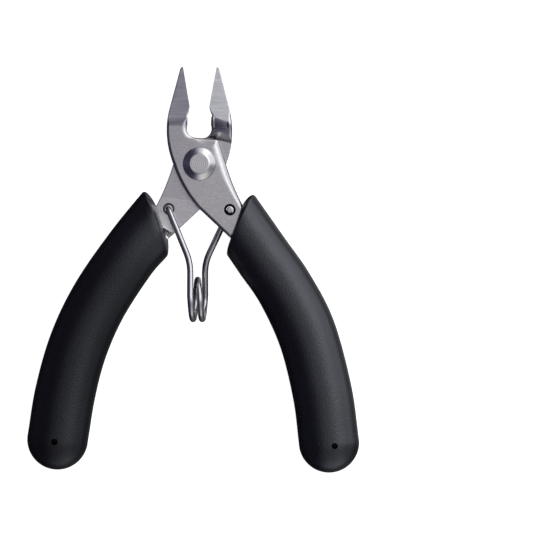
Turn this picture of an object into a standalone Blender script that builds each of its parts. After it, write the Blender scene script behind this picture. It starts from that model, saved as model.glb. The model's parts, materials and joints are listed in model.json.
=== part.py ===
"""Sprue nippers: two crossed arms on a rivet, with angled jaws, a wire return spring and two grips.

The tool lies flat: X runs across the handles, Y towards the blade tips and Z up, away from the table.
Shapes are worked out in millimetres from the pivot, on the plane where the two arms meet.
"""

import math

import bpy
import numpy as np
from mathutils import Vector
from mathutils.geometry import delaunay_2d_cdt

# ---- Driving dimensions, in millimetres and degrees ----
MM = 0.001
PIVOT = (1.4, 23.42, 5.2)  # the pivot in the part's frame: the table is 5.2 below the arms' meeting plane

PLATE = 3.0  # thickness of the stamped arms
MEET_GAP = 0.1  # running gap between the two arms
FACE = PLATE + MEET_GAP / 2  # height of an arm's outer face
SEAT = MEET_GAP / 2  # height of an arm's meeting face
EDGE = 0.3  # broken edge round each arm
LEAST_GAP = 0.35  # points inside a plate's face keep this far from its edges

BLADE_ANGLE = 9.7  # each cutting edge from the middle line, with the tool open
BLADE_ROOT, BLADE_TIP = 12.8, 21.85  # where each cutting edge starts and ends, from the pivot
JAW_TILT = 22.0  # the ground jaw faces lean back from the arms by this, along each cutting edge
JAW_THICK = 2.45
JAW_FACE_ALONG, JAW_FACE_Z = 10.8, 2.2  # the ground face's height at this distance along the cutting edge
FRONT_BEND = (8.2, 10.2)  # the front arm starts to roll back, and its ground face starts
REAR_LIFT, REAR_LIFT_LONG = 2.45, 4.6  # the rear arm rises by this, over this length, to its ground face
REAR_RISE_Y, REAR_RISE_X, REAR_RISE_SLOPE = 5.98, 1.8, -0.25  # a point on the line where it starts to rise
REAR_BACK = (3.5, 9.6)  # the rear jaw's back rises between these
FRONT_JOGGLE, REAR_JOGGLE = (16.6, 19.4), (15.8, 17.4)  # each tang steps sideways between these
FLANK = 2.0  # depth of the flank behind the cutting edge for each unit across
TIP_SLOPE = 1.27  # the back of the tip rises at this slope

RIVET_R, RIVET_BORE_R = 2.1, 2.25
HEAD_R, HEAD_TOP_R, HEAD_WALL, HEAD_HIGH = 3.66, 2.3, 0.58, 1.7
TAIL_R, TAIL_HIGH = 3.1, 0.7
REST_GAP = 0.06  # between the rivet's head or tail and the arm under it

WIRE_R = 0.7
SPRING_BORE_R = 1.25
LEFT_HOLE, RIGHT_HOLE = (-6.9, -9.9), (6.7, -10.15)
LEG_Z = 0.95  # the spring's legs leave the arms at this height
COIL_X, COIL_Y, COIL_R, COIL_PITCH = -0.43, -30.0, 4.36, 2.04
BEND_Y = -21.8  # where the legs turn parallel
SPRING_SPLIT = 0.3  # gap between the spring's two halves at the middle of the coil

GRIP_HALF = 5.2  # half the grips' thickness
GRIP_LIP = 0.7  # rounding of the grips' mouths
GRIP_POWER = 2.7  # 2 is an ellipse, more is boxier
TANG_HALF, TANG_END_HALF = 2.9, 2.3
TANG_GAP = 0.12  # between a tang and the socket in its grip
SOCKET_SLACK = 0.8  # the socket's step starts sooner and ends later than the tang's, by this
PIN_HOLE_R, PIN_HOLE_DEEP = 0.7, 1.2
LEFT_PIN_HOLE, RIGHT_PIN_HOLE = (-31.95, -61.4), (29.9, -62.3)

# Each grip's outer and inner edge, in matching pairs from the mouth to the start of the round end.
LEFT_OUTER = [(-11.98, -6.0), (-19.4, -14.5), (-27.4, -26.0), (-32.8, -37.05), (-36.1, -49.0), (-38.2, -60.3)]
LEFT_INNER = [(-7.3, -20.5), (-10.9, -24.7), (-16.9, -34.0), (-20.85, -43.0), (-23.2, -52.0), (-24.8, -61.7)]
RIGHT_OUTER = [(11.4, -6.8), (18.65, -16.2), (24.6, -24.3), (30.1, -34.5), (33.9, -49.0), (35.4, -61.4)]
RIGHT_INNER = [(6.2, -20.3), (8.9, -24.3), (13.5, -31.05), (17.9, -40.7), (20.75, -52.2), (22.0, -62.0)]

# ---- Plane curves ----


def unit(vector):
    vector = np.asarray(vector, float)
    return vector / np.linalg.norm(vector)


def arc_points(start, through, end, step):
    """Points after start, up to end, on the circle through three points."""
    (ax, ay), (bx, by), (cx, cy) = start, through, end
    d = 2 * (ax * (by - cy) + bx * (cy - ay) + cx * (ay - by))
    a2, b2, c2 = ax * ax + ay * ay, bx * bx + by * by, cx * cx + cy * cy
    ux = (a2 * (by - cy) + b2 * (cy - ay) + c2 * (ay - by)) / d
    uy = (a2 * (cx - bx) + b2 * (ax - cx) + c2 * (bx - ax)) / d
    radius = math.hypot(ax - ux, ay - uy)
    first = math.atan2(ay - uy, ax - ux)
    turn = math.atan2(cy - uy, cx - ux) - first
    side = math.copysign(1, (bx - ax) * (cy - ay) - (by - ay) * (cx - ax))
    turn = side * ((side * turn) % (2 * math.pi))
    count = max(2, math.ceil(abs(turn) * radius / step))
    angles = [first + turn * (i + 1) / count for i in range(count)]
    return [(ux + radius * math.cos(t), uy + radius * math.sin(t)) for t in angles]


def path(start, runs, step):
    """A point list from runs: (x, y) is a straight line to there, ((x, y), (x, y)) an arc through and to."""
    points = [start]
    for run in runs:
        if isinstance(run[0], tuple):
            points += arc_points(points[-1], run[0], run[1], step)
        else:
            points.append(run)
    return points


def divide(loop, longest):
    """The closed loop with its long straight stretches cut into equal pieces."""
    out = []
    for (x1, y1), (x2, y2) in zip(loop, loop[1:] + loop[:1]):
        count = max(1, math.ceil(math.hypot(x2 - x1, y2 - y1) / longest))
        out += [(x1 + (x2 - x1) * i / count, y1 + (y2 - y1) * i / count) for i in range(count)]
    return out


def smooth_curve(knots, t):
    """The point at t, from 0 to 1, on a Catmull-Rom curve through the knots."""
    knots = np.asarray(knots, float)
    place = min(max(t, 0.0), 1.0) * (len(knots) - 1)
    i = min(int(place), len(knots) - 2)
    u = place - i
    p1, p2 = knots[i], knots[i + 1]
    p0 = knots[i - 1] if i else 2 * p1 - p2
    p3 = knots[i + 2] if i + 2 < len(knots) else 2 * p2 - p1
    bend = (2 * p0 - 5 * p1 + 4 * p2 - p3) * u * u + (3 * p1 - p0 - 3 * p2 + p3) * u**3
    return 0.5 * (2 * p1 + (p2 - p0) * u + bend)


def ease(low, high, value):
    u = min(max((value - low) / (high - low), 0.0), 1.0)
    return u * u * (3 - 2 * u)


def circle(centre, radius, count):
    """A clockwise loop, which a plate takes as a hole."""
    angles = [-2 * math.pi * i / count for i in range(count)]
    return [(centre[0] + radius * math.cos(t), centre[1] + radius * math.sin(t)) for t in angles]


def inside(loop, points):
    """Which of the points lie within the loop."""
    loop = np.asarray(loop)
    x, y = points[:, 0][:, None], points[:, 1][:, None]
    x1, y1 = loop[:, 0], loop[:, 1]
    x2, y2 = np.roll(x1, -1), np.roll(y1, -1)
    crosses = (y1 > y) != (y2 > y)
    height = np.where(y2 == y1, 1.0, y2 - y1)
    return (crosses & (x < x1 + (y - y1) * (x2 - x1) / height)).sum(axis=1) % 2 == 1


# ---- Arms: plates whose faces follow height functions ----


def inset(loop, amounts):
    """The loop moved into the plate by an amount at each of its points."""
    points = np.asarray(loop, float)
    along = np.roll(points, -1, axis=0) - points
    along /= np.linalg.norm(along, axis=1)[:, None]
    normals = np.stack([-along[:, 1], along[:, 0]], axis=1)
    before = np.roll(normals, 1, axis=0)
    middle = normals + before
    middle /= np.linalg.norm(middle, axis=1)[:, None]
    stretch = np.clip((middle * normals).sum(axis=1), 0.6, 1.0)
    return points + middle * (np.asarray(amounts) / stretch)[:, None]


def lattice(low, high, grid, wanted):
    """Points on a triangular grid, where wanted(x, y)."""
    return [
        (x + (row % 2) * grid / 2, y)
        for row, y in enumerate(np.arange(low[1], high[1], grid * 0.87))
        for x in np.arange(low[0], high[0], grid)
        if wanted(x, y)
    ]


def crease_rows(side, start, end, grid):
    """Rows of points across a tang, close together where it steps between two distances from the pivot."""
    rows = np.linspace(start, end, 5)
    widths = np.arange(-6, 6, grid)
    return [(-side * (0.6 * s + 0.8 * w), -0.8 * s + 0.6 * w) for s in rows for w in widths]


def plate(loops, top, bottom, edge, spots):
    """A closed plate: the first loop is its outline, the others are holes, and edge(x, y) is its chamfer.

    The spots are the points, besides the loops', where the faces follow the top and bottom heights.
    """
    verts, faces = [], []
    rings = {True: [], False: []}
    for loop in loops:
        cut = [edge(x, y) for x, y in loop]
        within = inset(loop, cut)
        count, base = len(loop), len(verts)
        for (x, y), c in zip(loop, cut):
            verts.append((x, y, bottom(x, y) + c))
        for (x, y), c in zip(loop, cut):
            verts.append((x, y, top(x, y) - c))
        verts += [(x, y, bottom(x, y)) for x, y in within]
        verts += [(x, y, top(x, y)) for x, y in within]
        for i in range(count):
            j = (i + 1) % count
            for low, high in ((0, 1), (1, 3), (2, 0)):
                a, b = base + low * count, base + high * count
                faces.append((a + i, a + j, b + j, b + i))
        rings[False].append((base + 2 * count, within))
        rings[True].append((base + 3 * count, within))
    spots = np.asarray(spots)
    for upper, height in ((True, top), (False, bottom)):
        flat, owner, edges = [], [], []
        for base, ring in rings[upper]:
            first = len(flat)
            flat += [tuple(p) for p in ring]
            owner += range(base, base + len(ring))
            edges += [(first + i, first + (i + 1) % len(ring)) for i in range(len(ring))]
        keep = inside(flat[: len(loops[0])], spots)
        for _, ring in rings[upper][1:]:
            keep &= ~inside(ring, spots)
        gaps = np.linalg.norm(spots[:, None, :] - np.asarray(flat)[None, :, :], axis=2).min(axis=1)
        for x, y in spots[keep & (gaps > LEAST_GAP)]:
            flat.append((x, y))
            owner.append(len(verts))
            verts.append((x, y, height(x, y)))
        out = delaunay_2d_cdt([Vector(p) for p in flat], edges, [], 1, 1e-7)
        places = [found[0] for found in out[3]]
        triangles = [[places[i] for i in face] for face in out[2]]
        middles = np.array([np.mean([flat[i] for i in face], axis=0) for face in triangles])
        solid = np.ones(len(triangles), bool)
        for _, ring in rings[upper][1:]:
            solid &= ~inside(ring, middles)
        for face, kept in zip(triangles, solid):
            if kept:
                face = [owner[i] for i in face]
                faces.append(tuple(face if upper else face[::-1]))
    return verts, faces


def radial(radius, side):
    """A point on a cutting edge: side is -1 for the left jaw and 1 for the right."""
    angle = math.radians(BLADE_ANGLE)
    return (side * radius * math.sin(angle), radius * math.cos(angle))


def arm_outline(outer, inner, side, step):
    """An arm whose jaw is on one side and whose tang follows the grip on the other, anticlockwise."""
    knots = list(zip(outer, inner))[1:-1]
    mids = [(np.add(a, b) / 2) for a, b in knots]
    across = [unit(np.subtract(a, b)) for a, b in knots]
    halves = np.linspace(TANG_HALF, TANG_END_HALF, len(mids))
    far = [(m + a * h) * (-side, 1) for m, a, h in zip(mids, across, halves)]
    near = [(m - a * h) * (-side, 1) for m, a, h in zip(mids, across, halves)]
    count = math.ceil(45 / (step * 1.6))
    tang_near = [tuple(smooth_curve(near, i / count)) for i in range(count + 1)]
    tang_far = [tuple(smooth_curve(far, 1 - i / count)) for i in range(count + 1)]
    ends = np.array([tang_near[-1], tang_far[0]])
    nose = tuple(ends.mean(axis=0) + unit(ends[0] - near[-2]) * TANG_END_HALF)
    jaw = [
        ((-4.0, 21.38), (-4.35, 20.85)),
        (-6.7, 12.1),
        ((-7.24, 7.2), (-5.76, -0.1)),
        ((-3.55, -5.1), (-0.3, -9.7)),
        (7.0, -16.55),
    ]
    back = [
        (9.6, -9.2),
        ((7.8, -5.4), (6.15, -0.9)),
        (4.5, 4.3),
        ((4.2, 5.05), (3.4, 5.38)),
        (-0.9, 5.66),
        ((-2.3, 6.3), (-2.92, 8.6)),
        (-2.74, 10.2),
        (-2.8, 10.75),
        (-2.45, 11.5),
    ]
    left = path(radial(BLADE_TIP, -1), jaw, step) + tang_near
    right = path(tang_far[-1], back, step)
    points = path(left[-1], [(nose, tang_far[0])], step)[:-1]
    points = left + points[1:] + tang_far[:-1] + right + [radial(BLADE_ROOT, -1)]
    points = divide(points, 1.5 * step)
    return points if side < 0 else [(-x, y) for x, y in reversed(points)]


def ground(x, y, side):
    """Height of the plane that a jaw's face is ground to: both are one plane when the tool is closed."""
    angle = math.radians(BLADE_ANGLE)
    along = side * x * math.sin(angle) + y * math.cos(angle)
    return JAW_FACE_Z - math.tan(math.radians(JAW_TILT)) * (along - JAW_FACE_ALONG)


def jaw_back(x, y, face):
    """Height of a jaw's back, with its flank rising to the cutting edge and its tip drawn thin."""
    angle = math.radians(BLADE_ANGLE)
    from_edge = abs(x) * math.cos(angle) - y * math.sin(angle)
    from_edge += 1.2 * max(0.0, BLADE_ROOT - 0.3 - y)
    flank = face - 0.12 - FLANK * max(0.0, from_edge)
    tip_y = BLADE_TIP * math.cos(angle)
    tip = face - 0.4 - TIP_SLOPE * max(0.0, tip_y - y)
    return max(flank, tip)


def joggle(x, y, side, span, later):
    """How far a tang has stepped towards the middle of its grip, over a span of distances from the pivot."""
    return (PLATE / 2 + SEAT) * ease(span[0] + later, span[1] + later, -side * 0.6 * x - 0.8 * y)


def front_top(x, y, later=0.0):
    start, end = FRONT_BEND
    bend = min(max((y - start) / (end - start), 0.0), 1.0)
    rolled = FACE - (FACE - ground(x, end, -1)) * bend**2
    return (ground(x, y, -1) if y > end else rolled) - joggle(x, y, -1, FRONT_JOGGLE, later)


def front_bottom(x, y, later=0.0):
    face = ground(x, y, -1)
    back = min(SEAT, face - JAW_THICK)
    if y > FRONT_BEND[1]:
        back = max(back, jaw_back(x, y, face))
    return back - joggle(x, y, -1, FRONT_JOGGLE, later)


def above_rise(x, y):
    """Distance past the line where the rear arm's jaw starts to rise in front of its plate."""
    return y - REAR_RISE_Y - REAR_RISE_SLOPE * (x - REAR_RISE_X)


def rear_top(x, y, later=0.0):
    lift = -SEAT
    above = above_rise(x, y)
    if above > 0 and x > 0:
        lift += REAR_LIFT * (1 - max(0.0, 1 - above / REAR_LIFT_LONG) ** 2)
        lift = min(lift, ground(x, y, 1))
    return lift + joggle(x, y, 1, REAR_JOGGLE, later)


def rear_bottom(x, y, later=0.0):
    back = -FACE
    start, end = REAR_BACK
    if x > 0 and y > start:
        hump = ground(x, max(y, end), 1) - JAW_THICK
        back = -FACE + (hump + FACE) * ease(start, end, y)
        if y > FRONT_BEND[1]:
            back = max(back, jaw_back(x, y, ground(x, y, 1)))
    return back + joggle(x, y, 1, REAR_JOGGLE, later)


def on_blade(x, y):
    """Whether a point of an outline is at a cutting edge or its tip."""
    angle = math.radians(BLADE_ANGLE)
    return y > BLADE_ROOT * math.cos(angle) - 0.2 and abs(x) * math.cos(angle) - y * math.sin(angle) < 0.2


def arm_edge(x, y):
    if on_blade(x, y):
        return 0.05
    return 0.1 if y > 5.8 and abs(x) < 4.3 else EDGE


def front_arm_mesh(step, grid):
    outline = arm_outline(RIGHT_OUTER, RIGHT_INNER, -1, step)
    loops = [outline, circle((0, 0), RIVET_BORE_R, 32), circle(RIGHT_HOLE, SPRING_BORE_R, 20)]
    spots = lattice((-8, 7.4), (0, 22), grid, lambda x, y: True)
    spots += crease_rows(-1, *FRONT_JOGGLE, grid)
    return plate(loops, front_top, front_bottom, arm_edge, spots)


def rear_arm_mesh(step, grid):
    outline = arm_outline(LEFT_OUTER, LEFT_INNER, 1, step)
    loops = [outline, circle((0, 0), RIVET_BORE_R, 32), circle(LEFT_HOLE, SPRING_BORE_R, 20)]
    spots = lattice((1, 5), (8, 22), grid, lambda x, y: above_rise(x, y) > 2.6)
    for above in (-0.8, 0.0, 0.1, 0.4, 1.0, 1.8):
        line = [REAR_RISE_Y + REAR_RISE_SLOPE * (x - REAR_RISE_X) for x in np.arange(1.6, 7.2, grid)]
        spots += [(x, y + above) for x, y in zip(np.arange(1.6, 7.2, grid), line)]
    spots += crease_rows(1, *REAR_JOGGLE, grid)
    return plate(loops, rear_top, rear_bottom, arm_edge, spots)


def tang_cutter_mesh(outer, inner, side, top, bottom, joggle_span):
    """The arm without its holes, grown by the gap that its grip leaves round it."""
    outline = inset(arm_outline(outer, inner, side, 0.9), np.full(1, -TANG_GAP))
    return plate(
        [[tuple(p) for p in outline]],
        lambda x, y: top(x, y, -side * SOCKET_SLACK) + TANG_GAP,
        lambda x, y: bottom(x, y, side * SOCKET_SLACK) - TANG_GAP,
        lambda x, y: 0.1,
        crease_rows(side, *joggle_span, 1.0),
    )


# ---- Lofts, turned pieces and the spring ----


def loft(rings):
    """A closed skin over rings of equal length, with a flat cap at each end."""
    count = len(rings[0])
    verts = [tuple(p) for ring in rings for p in ring]
    faces = [tuple(range(count))[::-1], tuple(range(len(verts) - count, len(verts)))]
    for k in range(len(rings) - 1):
        a, b = k * count, (k + 1) * count
        faces += [(a + i, a + (i + 1) % count, b + (i + 1) % count, b + i) for i in range(count)]
    return verts, faces


def grip_mesh(outer, inner, sections, around):
    """A grip: rounded boxy sections from its mouth to a domed end."""
    flip = 1 if outer[0][0] > 0 else -1
    rings = []

    def ring(centre, half, thick):
        points = []
        for i in range(around):
            angle = flip * 2 * math.pi * (i + 0.5) / around
            c, s = math.cos(angle), math.sin(angle)
            across = math.copysign(abs(c) ** (2 / GRIP_POWER), c)
            upward = math.copysign(abs(s) ** (2 / GRIP_POWER), s)
            x, y = centre + half * across
            points.append((x, y, thick * upward))
        return points

    level = math.sin(math.pi / 2 - math.pi / around) ** (2 / GRIP_POWER)
    thick = GRIP_HALF / level
    for k in range(sections + 1):
        t = k / sections
        o, i = smooth_curve(outer, t), smooth_curve(inner, t)
        centre, half = (o + i) / 2, (o - i) / 2
        if k == 0:
            mouthward = unit(centre - (smooth_curve(outer, 0.1) + smooth_curve(inner, 0.1)) / 2)
            scale = 1 - GRIP_LIP / np.linalg.norm(half)
            rings.append(ring(centre + mouthward * 0.1, half * scale, thick - GRIP_LIP))
            centre = centre - mouthward * GRIP_LIP * 0.8
        rings.append(ring(centre, half, thick))
    away = unit((half[1], -half[0])) * flip
    if away[1] > 0:
        away = -away
    reach = np.linalg.norm(half)
    for angle in np.radians([20, 40, 58, 72, 82]):
        shrink = math.cos(angle)
        rings.append(ring(centre + away * reach * math.sin(angle), half * shrink, thick * shrink**0.8))
    return loft(rings)


def turned(profile, count):
    """A solid of revolution about Z from (radius, z) points, from its top centre to its bottom centre."""
    verts = [(0, 0, profile[0][1])]
    for radius, z in profile[1:-1]:
        angles = [2 * math.pi * i / count for i in range(count)]
        verts += [(radius * math.cos(t), radius * math.sin(t), z) for t in angles]
    verts.append((0, 0, profile[-1][1]))
    faces = []
    rows = len(profile) - 2
    for i in range(count):
        j = (i + 1) % count
        faces.append((0, 1 + i, 1 + j))
        for k in range(rows - 1):
            a, b = 1 + k * count, 1 + (k + 1) * count
            faces.append((a + i, b + i, b + j, a + j))
        last = 1 + (rows - 1) * count
        faces.append((len(verts) - 1, last + j, last + i))
    return verts, faces


def rivet_mesh(count):
    seat = FACE + REST_GAP
    return turned(
        [
            (0, seat + HEAD_HIGH),
            (HEAD_TOP_R - 0.1, seat + HEAD_HIGH),
            (HEAD_TOP_R, seat + HEAD_HIGH - 0.06),
            (HEAD_R - 0.05, seat + HEAD_WALL + 0.05),
            (HEAD_R, seat + HEAD_WALL - 0.05),
            (HEAD_R, seat),
            (RIVET_R, seat),
            (RIVET_R, -seat),
            (TAIL_R, -seat),
            (TAIL_R, -seat - TAIL_HIGH * 0.45),
            (TAIL_R * 0.7, -seat - TAIL_HIGH),
            (0, -seat - TAIL_HIGH),
        ],
        count,
    )


def rounded_corners(points, radii, steps):
    """A polyline whose inner corners are turned into arcs by quadratic curves."""
    points = [np.asarray(p, float) for p in points]
    out = [points[0]]
    for before, corner, after, cut in zip(points, points[1:], points[2:], radii):
        a = corner + unit(before - corner) * cut
        b = corner + unit(after - corner) * cut
        for k in range(steps + 1):
            u = k / steps
            out.append((1 - u) ** 2 * a + 2 * u * (1 - u) * corner + u * u * b)
    return out + [points[-1]]


def spring_half_path(hole, front, steps):
    """From the middle of the coil out to the hook in an arm; front is 1 for the leg in front, -1 behind."""
    reach = math.hypot(hole[1] - COIL_Y, LEG_Z)
    touch = math.atan2(LEG_Z, hole[1] - COIL_Y) + math.acos(COIL_R / reach)
    cut = SPRING_SPLIT / 2 / COIL_R
    start, end = cut, 2 * math.pi - touch
    coil = []
    for k in range(steps + 1):
        angle = start + (end - start) * k / steps
        x = COIL_X - front * COIL_PITCH * angle / (2 * math.pi)
        coil.append((x, COIL_Y + COIL_R * math.cos(angle), -front * COIL_R * math.sin(angle)))
    x, y, z = coil[-1]
    share = (y - BEND_Y) / (y - hole[1])
    bend = (x, BEND_Y, z + (front * LEG_Z - z) * share)
    knee = (hole[0], hole[1], front * LEG_Z)
    hook = (hole[0], hole[1], -front * (FACE - 0.35))
    return coil[:-1] + rounded_corners([coil[-1], bend, knee, hook], [2.4, 0.95], 6)


# ---- Objects ----


def material(name, colour, roughness, metallic):
    made = bpy.data.materials.new(name)
    made.use_nodes = True
    shader = made.node_tree.nodes["Principled BSDF"]
    shader.inputs["Base Color"].default_value = (*colour, 1)
    shader.inputs["Roughness"].default_value = roughness
    shader.inputs["Metallic"].default_value = metallic
    return made


def in_frame(point):
    return Vector([(a + b) * MM for a, b in zip(point, PIVOT)])


def axis_empty(name, point):
    """An empty on a joint's axis, which a moving piece is parented to."""
    empty = bpy.data.objects.new(name, None)
    empty.empty_display_size = 4 * MM
    empty.location = in_frame(point)
    bpy.context.collection.objects.link(empty)
    return empty


def solid(name, shape, finish, parent, axis):
    """A mesh object whose origin is on its joint's axis, a point in millimetres from the pivot."""
    verts, faces = shape
    mesh = bpy.data.meshes.new(name)
    mesh.from_pydata([Vector(np.subtract(v, axis) * MM) for v in verts], [], faces)
    mesh.validate()
    mesh.shade_smooth()
    mesh.set_sharp_from_angle(angle=math.radians(30))
    if finish:
        mesh.materials.append(finish)
    obj = bpy.data.objects.new(name, mesh)
    bpy.context.collection.objects.link(obj)
    obj.parent = parent
    return obj


def subtract(obj, cutter):
    cutter.hide_render = True
    cutter.display_type = "WIRE"
    cut = obj.modifiers.new(cutter.name, "BOOLEAN")
    cut.operation = "DIFFERENCE"
    cut.object = cutter


def wire(name, points, finish, parent, axis):
    """A round wire along the points, with closed ends."""
    curve = bpy.data.curves.new(name, "CURVE")
    curve.dimensions = "3D"
    curve.bevel_depth = WIRE_R * MM
    curve.bevel_resolution = 2
    curve.use_fill_caps = True
    spline = curve.splines.new("POLY")
    spline.points.add(len(points) - 1)
    for spot, point in zip(spline.points, points):
        spot.co = (*(np.subtract(point, axis) * MM), 1)
    curve.materials.append(finish)
    obj = bpy.data.objects.new(name, curve)
    bpy.context.collection.objects.link(obj)
    obj.parent = parent
    return obj


def pin_hole(name, centre, parent):
    """The blind hole that the moulding pin leaves near the end of a grip, on its upper face."""
    rim = circle(centre, PIN_HOLE_R, 16)[::-1]
    floor = GRIP_HALF - PIN_HOLE_DEEP
    rings = [[(x, y, floor) for x, y in rim], [(x, y, GRIP_HALF + 1) for x, y in rim]]
    return solid(name, loft(rings), None, parent, (0, 0, 0))


def main():
    for obj in list(bpy.data.objects):
        bpy.data.objects.remove(obj, do_unlink=True)

    steel = (0.62, 0.62, 0.64)
    front_steel = material("front_arm_steel", steel, 0.38, 1.0)
    rear_steel = material("rear_arm_steel", steel, 0.38, 1.0)
    rivet_steel = material("rivet_steel", (0.68, 0.68, 0.69), 0.3, 1.0)
    right_wire = material("spring_right_wire", (0.6, 0.6, 0.61), 0.22, 1.0)
    left_wire = material("spring_left_wire", (0.6, 0.6, 0.61), 0.22, 1.0)
    right_rubber = material("right_grip_vinyl", (0.02, 0.021, 0.024), 0.42, 0.0)
    left_rubber = material("left_grip_vinyl", (0.02, 0.021, 0.024), 0.42, 0.0)

    tool = axis_empty("tool_frame", (0, 0, 0))
    pivot = axis_empty("pivot_axis", (0, 0, 0))
    right_axis_at = (RIGHT_HOLE[0], RIGHT_HOLE[1], 0)
    coil_axis_at = (COIL_X, COIL_Y, 0)
    right_axis = axis_empty("spring_hook_axis", right_axis_at)
    coil_axis = axis_empty("spring_coil_axis", coil_axis_at)

    solid("front_arm", front_arm_mesh(0.9, 1.0), front_steel, tool, (0, 0, 0))
    solid("rear_arm", rear_arm_mesh(0.9, 1.0), rear_steel, pivot, (0, 0, 0))
    solid("pivot_rivet", rivet_mesh(40), rivet_steel, tool, (0, 0, 0))

    right = (RIGHT_OUTER, RIGHT_INNER, -1, front_top, front_bottom, FRONT_JOGGLE)
    left = (LEFT_OUTER, LEFT_INNER, 1, rear_top, rear_bottom, REAR_JOGGLE)
    for name, tang, hole_at, finish, parent in (
        ("right_grip", right, RIGHT_PIN_HOLE, right_rubber, tool),
        ("left_grip", left, LEFT_PIN_HOLE, left_rubber, pivot),
    ):
        grip = solid(name, grip_mesh(*tang[:2], 12, 20), finish, parent, (0, 0, 0))
        subtract(grip, solid(name + "_socket", tang_cutter_mesh(*tang), None, parent, (0, 0, 0)))
        subtract(grip, pin_hole(name + "_pin_hole", hole_at, parent))

    right_path = spring_half_path(RIGHT_HOLE, -1, 30)
    left_path = spring_half_path(LEFT_HOLE, 1, 30)
    wire("spring_right", right_path, right_wire, right_axis, right_axis_at)
    wire("spring_left", left_path, left_wire, coil_axis, coil_axis_at)


main()
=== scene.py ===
"""The looks of the sprue nippers: fine meshes and materials for the arms, rivet, spring and grips.

Shapes are worked out in millimetres from the pivot, on the plane where the two arms meet, with X across
the handles, Y towards the tips and Z towards the front. The pivot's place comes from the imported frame.
"""

import json
import math

import bpy
import numpy as np
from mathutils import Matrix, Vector
from mathutils.geometry import delaunay_2d_cdt


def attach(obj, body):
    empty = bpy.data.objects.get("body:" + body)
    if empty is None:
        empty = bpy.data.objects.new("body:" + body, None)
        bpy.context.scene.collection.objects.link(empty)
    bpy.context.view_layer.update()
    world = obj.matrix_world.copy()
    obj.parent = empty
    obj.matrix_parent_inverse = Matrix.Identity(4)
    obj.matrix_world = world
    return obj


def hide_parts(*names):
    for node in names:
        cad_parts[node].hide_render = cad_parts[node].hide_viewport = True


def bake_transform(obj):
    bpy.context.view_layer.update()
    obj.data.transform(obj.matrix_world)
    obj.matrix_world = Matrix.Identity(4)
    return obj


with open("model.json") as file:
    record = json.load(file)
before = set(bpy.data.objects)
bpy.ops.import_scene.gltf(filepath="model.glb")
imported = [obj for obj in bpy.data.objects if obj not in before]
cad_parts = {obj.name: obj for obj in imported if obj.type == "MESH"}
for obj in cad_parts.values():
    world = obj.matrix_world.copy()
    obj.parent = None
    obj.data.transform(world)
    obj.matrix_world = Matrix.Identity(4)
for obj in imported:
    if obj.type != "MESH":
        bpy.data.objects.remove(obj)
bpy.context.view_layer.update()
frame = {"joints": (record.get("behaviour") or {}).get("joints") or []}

# ---- Driving dimensions, in millimetres and degrees ----
MM = 0.001
JOINTS = {joint["name"]: joint for joint in frame["joints"]}
PIVOT = np.array(JOINTS["pivot"]["pos_m"]) / MM
COIL = np.array(JOINTS["spring_coil"]["pos_m"]) / MM - PIVOT

PLATE = 3.0  # thickness of the stamped arms
SEAT = 0.05  # height of an arm's meeting face
FACE = PLATE + SEAT  # height of an arm's outer face
FACE_BOW, FACE_BOW_REACH = 0.4, 20.0  # the front face falls away by this from its middle, over this reach

BLADE_ANGLE = 9.7  # each cutting edge from the middle line, with the tool open
BLADE_ROOT, BLADE_TIP = 12.8, 22.15  # where each cutting edge starts and ends, from the pivot
JAW_TILT = 22.0  # the ground jaw faces lean back from the arms by this, along each cutting edge
JAW_THICK = 2.45
JAW_FACE_ALONG, JAW_FACE_Z = 10.8, 2.2  # the ground face's height at this distance along the cutting edge
FRONT_BEND = (8.2, 10.2)  # the front arm starts to roll back, and its ground face starts
REAR_LIFT, REAR_LIFT_LONG = 2.45, 4.6  # the rear arm rises by this, over this length, to its ground face
REAR_RISE_Y, REAR_RISE_X, REAR_RISE_SLOPE = 5.98, 1.8, -0.25  # a point on the line where it starts to rise
REAR_LEAN, REAR_LEAN_X = 0.016, 6.8  # the rise leans to the throat, from this far across
REAR_STEP, REAR_STEP_LONG = 0.12, 0.25  # it starts with a small step, over this length
# A shallow pocket is cut in the rise, below the ground face.
POCKET_LEFT, POCKET_RIGHT, POCKET_LOW, POCKET_DEEP = (3.0, 3.35), (6.5, 6.15), (7.9, 8.25), 0.12
REAR_BACK = (3.5, 9.6)  # the rear jaw's back rises between these
FRONT_JOGGLE, REAR_JOGGLE = (16.6, 19.4), (15.8, 17.4)  # each tang steps sideways between these
TANG_WAY = (0.6, 0.8)  # each tang's direction from the pivot, as its shares outwards and down
FLANK, EDGE_LAND = 2.0, 0.12  # the flank's depth for each unit across, and the cutting edge's thickness
ROOT_FADE, ROOT_FADE_Y = 1.2, BLADE_ROOT - 0.3  # the flank's crease moves in by this slope, below there
TIP_SLOPE, TIP_LAND = 1.27, 0.4  # the slope of the tip's back, and the tip's thickness

# How far the roundings of the arms' edges reach in from them. A pair in brackets is where a share starts and
# where it is full.
BLADE_EDGE, BLADE_NEAR = 0.03, 0.2  # at the cutting edges, this close to them
JAW_EDGE, BODY_EDGE, BACK_EDGE = 0.14, 0.5, 0.3  # at the fronts of the jaws and body, and at the backs
BACK_JAW_EDGE, BACK_JAW_Y = 0.1, 5.8  # at the front arm's back, up past here
RIGHT_SIDE, RIGHT_BROAD = (1.6, 4.2), 1.3  # more by this towards the front body's right side
LEFT_SIDE, LEFT_BROAD = (-2.0, -4.5), 0.12  # and by this towards its left side
THROAT_X, THROAT_Y = ((-5.6, -4.6), (-0.8, -2.2)), ((4.9, 6.2), (10.0, 8.6))  # around the throat's left wall
THROAT_BROAD = 0.5
FLATTER = 0.5  # the broad roundings are less deep by this share
FRONT_JAW_Y = (10.3, 8.6)  # the body's rounding gives way to the jaw's
RISE_Y, RISE_BROAD = ((5.2, 6.4), (12.2, 10.2)), 0.26  # more by this around the rear jaw's rise
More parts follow.
